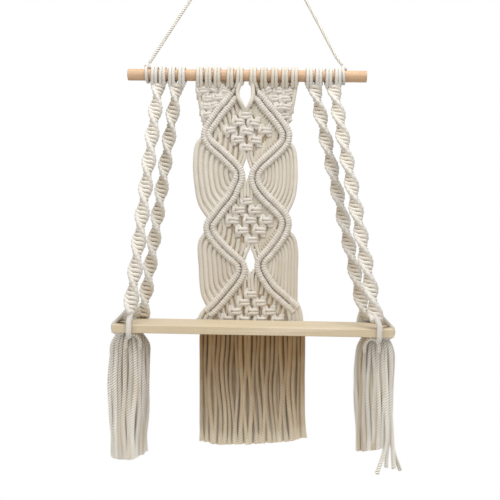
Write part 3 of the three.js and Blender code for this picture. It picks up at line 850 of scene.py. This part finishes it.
def loosePaths(upper, lower, sign):
    # strands in a diamond's side corner, which pass no knot
    paths = []
    for part in (0.86, 0.97):
        start, end = along(upper, part, strand["y"]), along(lower, part, strand["y"])
        middle = (start + end) / 2
        middle[0] += sign * 1.5
        paths.append([start, middle, end])
    return paths


def arcPaths(upper, lower, arc, count, behind=False):
    # strands outside the bars, in nested arcs from one diamond to the next: out quickly, then slowly back
    paths = []
    for k in range(count - behind):
        part = (k + 0.5 * behind) / (count - 1)
        start = along(upper, mixed(arc["upper"][1], arc["upper"][0], part))
        end = along(lower, mixed(arc["lower"][1], arc["lower"][0], part))
        out = mixed(arc["outermost"], arc["innermost"], part)
        y = arcShape["behindY"] * behind + chance.uniform(-0.5, 0.5)
        peak = arc["peak"]
        between = [
            (mixed(start[0], out, 0.7), 0.07), (out, peak), (mixed(out, end[0], 0.1), peak + 0.27),
            (mixed(out, end[0], 0.35), 0.8),
        ]
        middle = [(x, y, mixed(start[2], end[2], share)) for x, share in between]
        paths.append([start, *middle, end])
    return paths


def behindPaths(tops, bottoms, y):
    # upright strands close together behind a diamond or a corner, from one line of x and down to another
    tops, bottoms = np.array(tops, float), np.array(bottoms, float)
    left, right = tops[0, 0], tops[-1, 0]
    paths = []
    for x in np.arange(left + 2.5, right - 2.4, strand["behind"]):
        start = np.interp(x, tops[:, 0], tops[:, 1])
        end = np.interp(x, bottoms[:, 0], bottoms[:, 1])
        own = y + chance.uniform(-0.6, 0.6)
        middle = at(x + chance.uniform(-0.5, 0.5), (start + end) / 2, own)
        paths.append([at(x, start, own), middle, at(x, end, own)])
    return paths


# The lines between which those strands stand, as x and down
behindDiamonds = [
    (
        [(-73, 96), (-30, 28), (-24, 24), (-21, 35), (-8, 60), (4, 35), (6, 25), (12, 27), (58, 96)],
        [(-73, 100), (-18, 156), (-12, 134), (-5.5, 122), (2, 136), (10, 154), (58, 104)],
    ),
    (
        [(-64, 247), (-19, 174), (-12, 176), (-5, 178), (2, 176), (9, 174), (60, 243)],
        [(-64, 252), (-13, 304), (-9, 284), (3, 270), (11, 284), (20, 304), (60, 250)],
    ),
    (
        [(-84, 404), (-66, 382), (-14, 326), (-4, 336), (4, 336), (7, 322), (23, 316), (74, 374), (92, 396)],
        [(-84, 408), (92, 408)],
    ),
]
behindCorners = [
    ([(-89, 8), (-21, 8)], [(-89, 26), (-83, 60), (-77, 84), (-32, 34), (-21, 26)]),
    ([(3, 8), (74, 8)], [(3, 24), (15, 32), (60, 84), (67, 66), (74, 28)]),
]


def cornerPaths(side, sign):
    # strands of the top corner, from the lark's heads to the first bar
    paths = []
    heads, upper = panelLarks[side], bars[side][0]
    for index in range(0, 9, 2):
        tail = sign * (-lark["tail"] if index % 2 == 0 else lark["tail"])
        start = at(heads[index // 2] + tail, 15.0, -2.5)
        end = along(upper, 1 - (index + 0.5) / 10)
        middle = (start + end) / 2 + (-sign * 2.5, chance.uniform(-1, 1), -1.0)
        paths.append([start, middle, end])
    return paths


def addStrands(parcel, paths, radius, tint=0.0, rear=0.0):
    # plain cords, with a tint of their own about the given one
    def near(path):
        return tint + chance.uniform(-1, 1, 1)

    addCords(parcel, [smoothPath(points, strand["step"]) for points in paths], radius, tone=near, rear=rear)


def makePanelCords():
    # side by side: the diamonds' strands, the corner's, the lenses', the arcs' and the lark's heads
    front, back = Parcel(), Parcel()
    for side, shape in strand["sides"].items():
        own, sign = bars[side], shape["sign"]
        paths = []
        for upper, lower in ((own[0], own[1]), (own[2], own[3])):
            paths += diamondPaths(upper, lower, shape) + loosePaths(upper, lower, sign)
        addStrands(front, paths, shape["radius"], shape["tint"])
        lowPaths = diamondPaths(own[4], None, strand["low"] | {"sign": sign})
        addStrands(front, lowPaths, strand["low"]["radius"])
        fromRod, *others = lensStrands[side]
        addStrands(front, cornerPaths(side, sign) + [lensPath(fromRod)], strand["cornerRadius"])
        for points in others:
            fans = points[0][1] > lens["fanFrom"]
            addStrands(front, [lensPath(points)], lens["fanRadius"] if fans else lens["radius"])
        inFront, behind = [], []
        for upper, lower, arc in ((own[1], own[2], arcs[side][0]), (own[3], own[4], arcs[side][1])):
            inFront += arcPaths(upper, lower, arc, arcShape[side]["count"])
            behind += arcPaths(upper, lower, arc, arcShape[side]["count"], True)
        addStrands(front, inFront + behind, arcShape[side]["radius"])
        leans = [0.0] * 4 + [-lark["innerLean"] * sign]
        addCords(front, [larkPath(x, lean) for x, lean in zip(panelLarks[side], leans)], lark["radius"])
    for lines, y in ((behindDiamonds, strand["behindY"]), (behindCorners, strand["cornerY"])):
        for tops, bottoms in lines:
            paths = behindPaths(tops, bottoms, y)
            addStrands(back, paths, strand["behindRadius"], strand["behindTint"], strand["rear"])
    front.piece("panel_cords", finishes["cotton_cord"], "cotton_cord", "panel")
    back.piece("panel_back_cords", finishes["shaded_cord"], "cotton_cord", "panel")


makeBars()
makeSquares()
makePanelCords()
print("panel made")


# The straps: half knots that turn as they go down, and legs round the board's edges
strap = {
    "radius": 3.25, "step": 1.8, "columns": 10, "start": 15.0, "knotHeight": 7.3,
    "halfWidth": 7.2, "halfDepth": 3.9, "swell": 0.5, "settle": 1.0, "perKnot": 12,
    "ridge": 8.3, "ridgeRadius": 3.35, "ridgeWave": 0.6, "shade": 1.3,
}
leg = {"radius": 3.1, "frontRadius": 4.1, "step": 1.8, "from": 22.0, "gap": 0.4, "under": 0.4, "ease": 1.0}

# Each strap: how pale its rungs are, the x of its two lark's heads, its foot's x and y, the depth of its
# first narrow place and from one to the next, how much that turning quickens, how far its edge leg slants,
# where the knots end, and the places of its legs along the board's edge and along the board's end
straps = [
    {
        "name": "strap_left_front", "pale": 1.3, "larks": (-158.8, -145.7), "foot": (-171.5, -135),
        "narrow": 37, "turn": 43.2, "quicken": 0, "slant": 3.0, "down": 384,
        "legs": (0,), "ends": (-106, -98, -90, -82),
    },
    {
        "name": "strap_left_back", "pale": 0.1, "larks": (-130, -113.6), "foot": (-171, -14),
        "narrow": 39, "turn": 43, "quicken": 0.28, "slant": 0, "down": 399,
        "legs": (-5, 0, 5), "ends": (-68, -58, -48, -38, -26),
    },
    {
        "name": "strap_right_back", "pale": 0.3, "larks": (95.6, 111), "foot": (191, -14),
        "narrow": 43, "turn": 42.5, "quicken": 0, "slant": 0, "down": 393,
        "legs": (-9.5, -5, -0.5, 4, 8.5), "ends": (-64, -54, -44, -34, -25),
    },
    {
        "name": "strap_right_front", "pale": 0.9, "larks": (127.3, 142.4), "foot": (196.5, -135),
        "narrow": 44.6, "turn": 39.5, "quicken": 0, "slant": -6.0, "down": 389,
        "legs": (3.4,), "ends": (-98, -90, -82),
    },
]

# The tassels: "cut" is the line that the ropes are cut on, as x and down, and "long" gives the outer ropes
# that reach lower, by their number, with their depth and their swing
tassel = {
    "y": -75.0, "headWidth": 42.0, "headDepth": 34.0, "headHeight": 15.0, "radius": 3.45, "uneven": 0.1,
    "step": 1.25, "columns": 12, "innerStep": 3.0, "innerColumns": 8, "sway": 1.5, "wave": 38.0,
    "flare": 0.08, "bindRadius": 2.9, "bindStep": 1.6,
}
tassels = [
    {
        "name": "tassel_left", "x": -181.2, "halfWidth": 29.6, "foot": 25.4, "drift": 1.6, "halfDepth": 20.5,
        "cut": [(-214, 612), (-173, 612.5), (-148, 599)], "long": {}, "gone": (), "bindAt": -172.0,
    },
    {
        "name": "tassel_right", "x": 200.7, "halfWidth": 27.2, "foot": 26.2, "drift": 1.4, "halfDepth": 19.5,
        "cut": [(171, 596), (219, 584), (231, 584)],
        "long": {20: (627, -13), 21: (617, -1.5), 22: (620, 5), 23: (624, 14)}, "gone": (13, 14),
        "bindAt": 194.0,
    },
]
boardTop, boardUnder = boardHigh[2], boardLow[2]


def strapPaths(row):
    # two knotting cords weave from side to side round a straight one, a smooth cord stands at each edge,
    # and the whole turns
    top = at(sum(row["larks"]) / 2, strap["start"], -2.0)
    foot = at(row["foot"][0], row["down"], row["foot"][1])
    length = np.linalg.norm(foot - top)
    knots = length / strap["knotHeight"]
    tau = np.linspace(0, knots, round(knots * strap["perKnot"]) + 1)
    coarse = np.linspace(0, knots, round(knots) + 1)
    places = []
    for shift in (0.0, 1.0):
        phase = tau + shift
        u = -(strap["halfWidth"] + strap["swell"] * np.sin(2 * np.pi * phase)) * np.cos(np.pi * phase)
        v = -strap["halfDepth"] * np.sin(np.pi * phase)
        part = (tau + strap["settle"] / (2 * np.pi) * np.sin(2 * np.pi * tau)) / knots
        places.append((u, v, part))
    places.append((0 * coarse, 0 * coarse, coarse / knots))
    fine = np.linspace(0, knots, 6 * round(knots) + 1)
    for side in (-1, 1):
        bump = strap["ridge"] + strap["ridgeWave"] * np.cos(2 * np.pi * fine)
        places.append((side * bump, 0 * fine, fine / knots))
    paths = []
    for u, v, part in places:
        middle = top + (foot - top) * np.clip(part, 0, 1)[:, None]
        share = np.clip((rodZ - middle[:, 2]) / row["down"], 0, 1)
        angle = np.pi * ((rodZ - middle[:, 2] - row["narrow"]) / row["turn"] + row["quicken"] * share**2)
        x = u * np.sin(angle) + v * np.cos(angle)
        y = -u * np.cos(angle) + v * np.sin(angle)
        paths.append(evenly(middle + np.column_stack([x, y, 0 * x]), strap["step"]))
    return paths


def edgeLeg(row, head, shift):
    # a leg over the board's front or back edge and under it to the tassel
    x, y = row["foot"]
    radius = leg["frontRadius"] if y < tassel["y"] else leg["radius"]
    out = -1 if y < tassel["y"] else 1
    edge = boardLow[1] if out < 0 else boardHigh[1]
    clear = edge + out * (leg["gap"] + radius)
    low = boardUnder - leg["under"] - radius
    towards = 1 if head > x else -1
    wide = x + shift
    return [
        (x + shift * 0.5 + row["slant"], y, boardTop + leg["from"]),
        (wide, clear - out * 1.5, boardTop + 5),
        (wide, clear, boardMiddle[2]),
        (wide, clear - out * 0.4, boardUnder - 1),
        (wide, edge - out * leg["ease"], low),
        (x + towards * 2, edge - out * 12, low),
        (x + towards * 5, tassel["y"] + out * (tassel["headDepth"] / 2 + 2.5), low),
    ]


def endLegs(row, head):
    # the cords that fan out over the board's end, each from lower than the last, and go under it
    # to the tassel
    x, y = row["foot"]
    out = -1 if x < boardMiddle[0] else 1
    edge = boardLow[0] if out < 0 else boardHigh[0]
    clear = edge + out * (leg["gap"] + leg["radius"])
    low = boardUnder - leg["under"] - leg["radius"]
    legs = []
    for k, place in enumerate(row["ends"]):
        reach = np.sign(place - tassel["y"])
        rise = max(leg["from"] - 5 * k, 4.5)
        points = [
            (x + out * (4 - 2 * k), y + 2 * k, boardTop + rise),
            (mixed(x, edge, 0.62), mixed(y, place, 0.7), boardTop + mixed(rise, 4.0, 0.62)),
            (edge - out * 2, place, boardTop + 3.7),
            (clear, place, boardTop - leg["ease"] - 1),
            (clear, place, boardUnder + leg["ease"]),
            (edge - out * leg["ease"], place, low),
            (edge - out * 10, place - reach * 3, low),
            (head + out * 12, tassel["y"] + reach * (tassel["headDepth"] / 2 + 2), low),
        ]
        legs.append(points)
    return legs


def makeStrap(row):
    head = tassels[0]["x"] if row["foot"][0] < boardMiddle[0] else tassels[1]["x"]
    *knotted, leftRidge, rightRidge = strapPaths(row)

    def turned(path):
        # the rungs of each half turn are darker above, where they face away from the light
        part = (rodZ - path[:, 2] - row["narrow"]) / row["turn"] % 1
        return row["pale"] - strap["shade"] * np.cos(np.pi * part)

    rungs, smooth = Parcel(), Parcel()
    addCords(rungs, knotted, strap["radius"], strap["columns"], tone=turned)
    addCords(smooth, [leftRidge, rightRidge], strap["ridgeRadius"], strap["columns"])
    addCords(smooth, [larkPath(x) for x in row["larks"]], lark["radius"], 10)
    over = [smoothPath(edgeLeg(row, head, shift), leg["step"]) for shift in row["legs"]]
    ends = [smoothPath(points, leg["step"]) for points in endLegs(row, head)]
    addCords(smooth, over, leg["frontRadius"] if row["foot"][1] < tassel["y"] else leg["radius"], 12)
    addCords(smooth, ends, leg["radius"], 10)
    rungs.piece(row["name"] + "_rungs", finishes["strap_rung_shaded"], "cotton_cord", row["name"])
    smooth.piece(row["name"] + "_ridges", finishes["strap_cord"], "cotton_cord", row["name"])


for row in straps:
    makeStrap(row)
print("straps made")

# The rings of ropes in a tassel: how many, how wide beside the outer ring, and whether they are outer
rings = [(24, 1.0, True), (23, 0.86, False), (10, 0.5, False)]

# The cord that binds its front: x from its middle, y, and z from the board's underside
binding = [
    (-11, -96, -27), (-10.5, -98, -15), (-6, -99, -8), (0, -99.5, -5.5), (6, -99, -8), (10.5, -98, -15),
    (11, -96, -27),
]


def tasselPath(row, across, deep, cut, swing):
    # a rope's way down, from half the bundle's width and depth at each height and the rope's own place
    top = boardUnder - 0.3
    base = top - tassel["headHeight"]
    wide, thick = row["halfWidth"], row["halfDepth"]
    low = rodZ - min(cut, row["cut"][0][1])
    levels = [
        (0.7 * tassel["headWidth"] / 2, 0.62 * tassel["headDepth"] / 2, top - 3.5),
        (0.95 * tassel["headWidth"] / 2, 0.85 * tassel["headDepth"] / 2, base + 5),
        (0.95 * wide, 0.92 * thick, base - 8),
        (wide, thick, base - 30),
        (mixed(wide, row["foot"], 0.6), thick, low + 60),
        (row["foot"], thick, low + 25),
        (row["foot"], thick, rodZ - cut),
    ]
    drifts = row["drift"] * np.array([0, 0, 0, 0, 0.6, 1, 1])
    drifts[-1] += swing
    return [
        (row["x"] + drift + width * across, tassel["y"] + depth * deep, z)
        for drift, (width, depth, z) in zip(drifts, levels)
    ]


def makeTassel(row):
    outerParcel, innerParcel = Parcel(), Parcel()
    for count, size, outer in rings:
        step = tassel["step"] if outer else tassel["innerStep"]
        columns = tassel["columns"] if outer else tassel["innerColumns"]
        paths = []
        for i in range(count):
            if outer and i in row["gone"]:
                continue
            angle = 2 * np.pi * (i + 0.5) / count
            across, deep = size * np.cos(angle), size * np.sin(angle)
            cut = np.interp(row["x"] + across * row["foot"], *zip(*row["cut"])) + chance.uniform(-0.8, 0.8)
            swing = 0.0
            if outer and i in row["long"]:
                cut, swing = row["long"][i]
            path = smoothPath(tasselPath(row, across, deep, cut, swing), step)
            paths.append(wander(path, tassel["sway"], tassel["wave"]))
        parcel = outerParcel if outer else innerParcel
        addCords(parcel, paths, tassel["radius"], columns, outer, tassel["uneven"], flare=tassel["flare"])
    bind = smoothPath([(row["bindAt"] + x, y, boardUnder + z) for x, y, z in binding], tassel["bindStep"])
    addCords(outerParcel, [bind], tassel["bindRadius"], 10)
    outerParcel.piece(row["name"] + "_ropes", finishes["twisted_rope"], "cotton_cord", row["name"])
    # the inner rings take the browner finish as painted shade
    innerParcel.piece(row["name"] + "_core", finishes["tassel_core_shaded"], "cotton_cord", row["name"])


for row in tassels:
    makeTassel(row)
print("tassels made")

# The fringe: ropes that hang behind the board from the panel's lower edge, and a plainer layer behind,
# coloured darker as painted shade; both are painted browner toward the board as its shadow
fringe = {
    "left": -75.5, "right": 91.5, "top": 412.0, "radius": 3.4, "shift": 4.0, "sway": 1.6, "edge": 0.3,
    "perRope": 0.25, "length": 190, "waveRun": 27,
    "cut": [(-79, 600), (-52, 607), (7, 605), (57, 600.5), (98, 591)], "bends": (440, 475, 510, 545, 575),
    "front": {
        "name": "fringe_ropes", "finish": "fringe_rope", "count": 24, "y": -1.8, "step": 1.3, "wave": 2.7,
        "columns": 12, "twisted": True, "uneven": 0.16, "flare": 0.5, "rear": 0.0,
    },
    "back": {
        "name": "fringe_back_ropes", "finish": "fringe_shade", "count": 42, "y": 4.6, "step": 4.0,
        "wave": 0.6, "columns": 8, "twisted": False, "uneven": 0.1, "flare": 0.0, "rear": 4.0,
    },
    # the tone gives the painted shadow of the board along the ropes
    "tone": {"top": -2.4, "low": 0.7, "from": 425, "over": 160, "cut": 1.7, "cutLength": 22},
}


def fringePaths(layer):
    # each rope waves a little, least at the sides, drifts to the right on its way down and ends on the
    # cut line
    paths = []
    for i in range(layer["count"]):
        x = mixed(fringe["left"], fringe["right"], i / (layer["count"] - 1))
        inward = min(1.0, fringe["edge"] + fringe["perRope"] * min(i, layer["count"] - 1 - i))
        cut = np.interp(x, *zip(*fringe["cut"])) + chance.uniform(-0.4, 0.4)
        phase, depth = chance.uniform(0, 6.28), chance.uniform(-1, 1)
        points = []
        for down in (fringe["top"], *fringe["bends"], cut):
            far = (down - fringe["top"]) / fringe["length"]
            free = min(1.0, 3 * far)
            swing = inward * layer["wave"] * np.sin(down / fringe["waveRun"] + phase) * free
            deep = layer["y"] + fringe["sway"] * depth * free
            points.append(at(x + swing + fringe["shift"] * far**2, down, deep))
        paths.append(smoothPath(points, layer["step"]))
    return paths


def boardShadowTone(path):
    # the board's shadow painted on: brown under the board, paler on the way down and palest at the cut
    down = rodZ - path[:, 2]
    tone = fringe["tone"]
    part = np.clip((down - tone["from"]) / tone["over"], 0, 1)
    nearCut = np.clip((down - down.max() + tone["cutLength"]) / tone["cutLength"], 0, 1)
    return mixed(tone["top"], tone["low"], part) + tone["cut"] * nearCut


def makeFringe():
    for layer in (fringe["front"], fringe["back"]):
        parcel = Parcel()
        looks = (layer["columns"], layer["twisted"], layer["uneven"], boardShadowTone, layer["flare"], layer["rear"])
        addCords(parcel, fringePaths(layer), fringe["radius"], *looks)
        parcel.piece(layer["name"], finishes[layer["finish"]], "cotton_cord", "fringe")


makeFringe()
print("fringe made")

# The hitches that tie the hanging cord to the rod; the lump's loop is given in parts of its size
rodHitch = {
    "radius": 2.5, "away": 2.6, "coilStep": 1.6, "lumpStep": 1.4, "columns": 10,
    "wide": 1.2, "deep": 1.1, "above": 0.7, "rise": 0.8,
}
hitches = [
    {"name": "hitch_left", "x": -170.6, "pitch": 5.4, "lump": -171.6, "size": 2.2},
    {"name": "hitch_right", "x": 152.3, "pitch": 5.2, "lump": 152.0, "size": 1.8},
]


def makeHitch(row):
    # a turn of cord round the rod, and a small overhand lump where the cord leaves it, a loop whose
    # height goes up and down twice on its way round
    reach = rodRadius + rodHitch["away"]
    angle = np.linspace(0, 2 * np.pi, 40)
    x = row["x"] + row["pitch"] * (angle / (2 * np.pi) - 0.5)
    coil = np.column_stack([x, -reach * np.sin(angle), rodZ + reach * np.cos(angle)])
    size = row["size"]
    across = row["lump"] + size * rodHitch["wide"] * np.sin(angle)
    deep = size * rodHitch["deep"] * np.cos(angle)
    up = rodZ + reach + size * (rodHitch["above"] + rodHitch["rise"] * np.sin(2 * angle))
    lump = np.column_stack([across, deep, up])
    parcel = Parcel()
    paths = [evenly(coil, rodHitch["coilStep"]), evenly(lump, rodHitch["lumpStep"])]
    addCords(parcel, paths, rodHitch["radius"], rodHitch["columns"])
    return parcel.piece(row["name"] + "_cords", finishes["strap_cord"], "cotton_cord", row["name"])


for row in hitches:
    makeHitch(row)
print("hitches made")


# Soft light from the front and above, a white backdrop for the camera, and a pale floor
lights = [
    {"name": "key", "place": (0.75, -1.7, 0.85), "size": 0.9, "power": 13.5},
    {"name": "fill", "place": (-1.4, -1.6, -0.1), "size": 1.6, "power": 9.0},
    {"name": "top", "place": (0.1, -0.45, 0.95), "size": 0.9, "power": 19.0},
]
ambient = 0.63


def makeLights():
    for light in lights:
        data = bpy.data.lights.new(light["name"], "AREA")
        data.shape = "SQUARE"
        data.size = light["size"]
        data.energy = light["power"]
        body = bpy.data.objects.new(light["name"], data)
        aim = Vector((0.0, -0.05, -0.5)) - Vector(light["place"])
        turn = aim.to_track_quat("-Z", "Y").to_matrix().to_4x4()
        body.matrix_world = Matrix.Translation(light["place"]) @ turn
        bpy.context.scene.collection.objects.link(body)


def makeWorld():
    world = bpy.data.worlds.new("studio")
    world.use_nodes = True
    tree = world.node_tree
    tree.nodes.clear()
    output = tree.nodes.new("ShaderNodeOutputWorld")
    blend = tree.nodes.new("ShaderNodeMixShader")
    seen = tree.nodes.new("ShaderNodeBackground")
    seen.inputs["Color"].default_value = (1, 1, 1, 1)
    soft = tree.nodes.new("ShaderNodeBackground")
    soft.inputs["Color"].default_value = (1.0, 0.985, 0.96, 1)
    soft.inputs["Strength"].default_value = ambient
    rays = tree.nodes.new("ShaderNodeLightPath")
    tree.links.new(rays.outputs["Is Camera Ray"], blend.inputs[0])
    tree.links.new(soft.outputs[0], blend.inputs[1])
    tree.links.new(seen.outputs[0], blend.inputs[2])
    tree.links.new(blend.outputs[0], output.inputs["Surface"])
    bpy.context.scene.world = world
    bpy.context.scene.view_settings.view_transform = "Standard"


floorPlace = {"z": -1.32, "half": 0.9, "forward": -0.3}


def makeFloor():
    half, z, y = floorPlace["half"], floorPlace["z"], floorPlace["forward"]
    corners = [(-half, y - half, z), (half, y - half, z), (half, y + half, z), (-half, y + half, z)]
    mesh = bpy.data.meshes.new("floor")
    mesh.from_pydata(corners, [], [(0, 1, 2, 3)])
    floor = bpy.data.objects.new("floor", mesh)
    bpy.context.scene.collection.objects.link(floor)
    recipe = Recipe("pale_floor")
    cloud = recipe.noise(recipe.place(), 3.0)
    shade = recipe.colour((232, 230, 226), (240, 239, 236), cloud)
    mesh.materials.append(recipe.finish({"Base Color": shade, "Roughness": 0.8}))


makeLights()
makeWorld()
makeFloor()
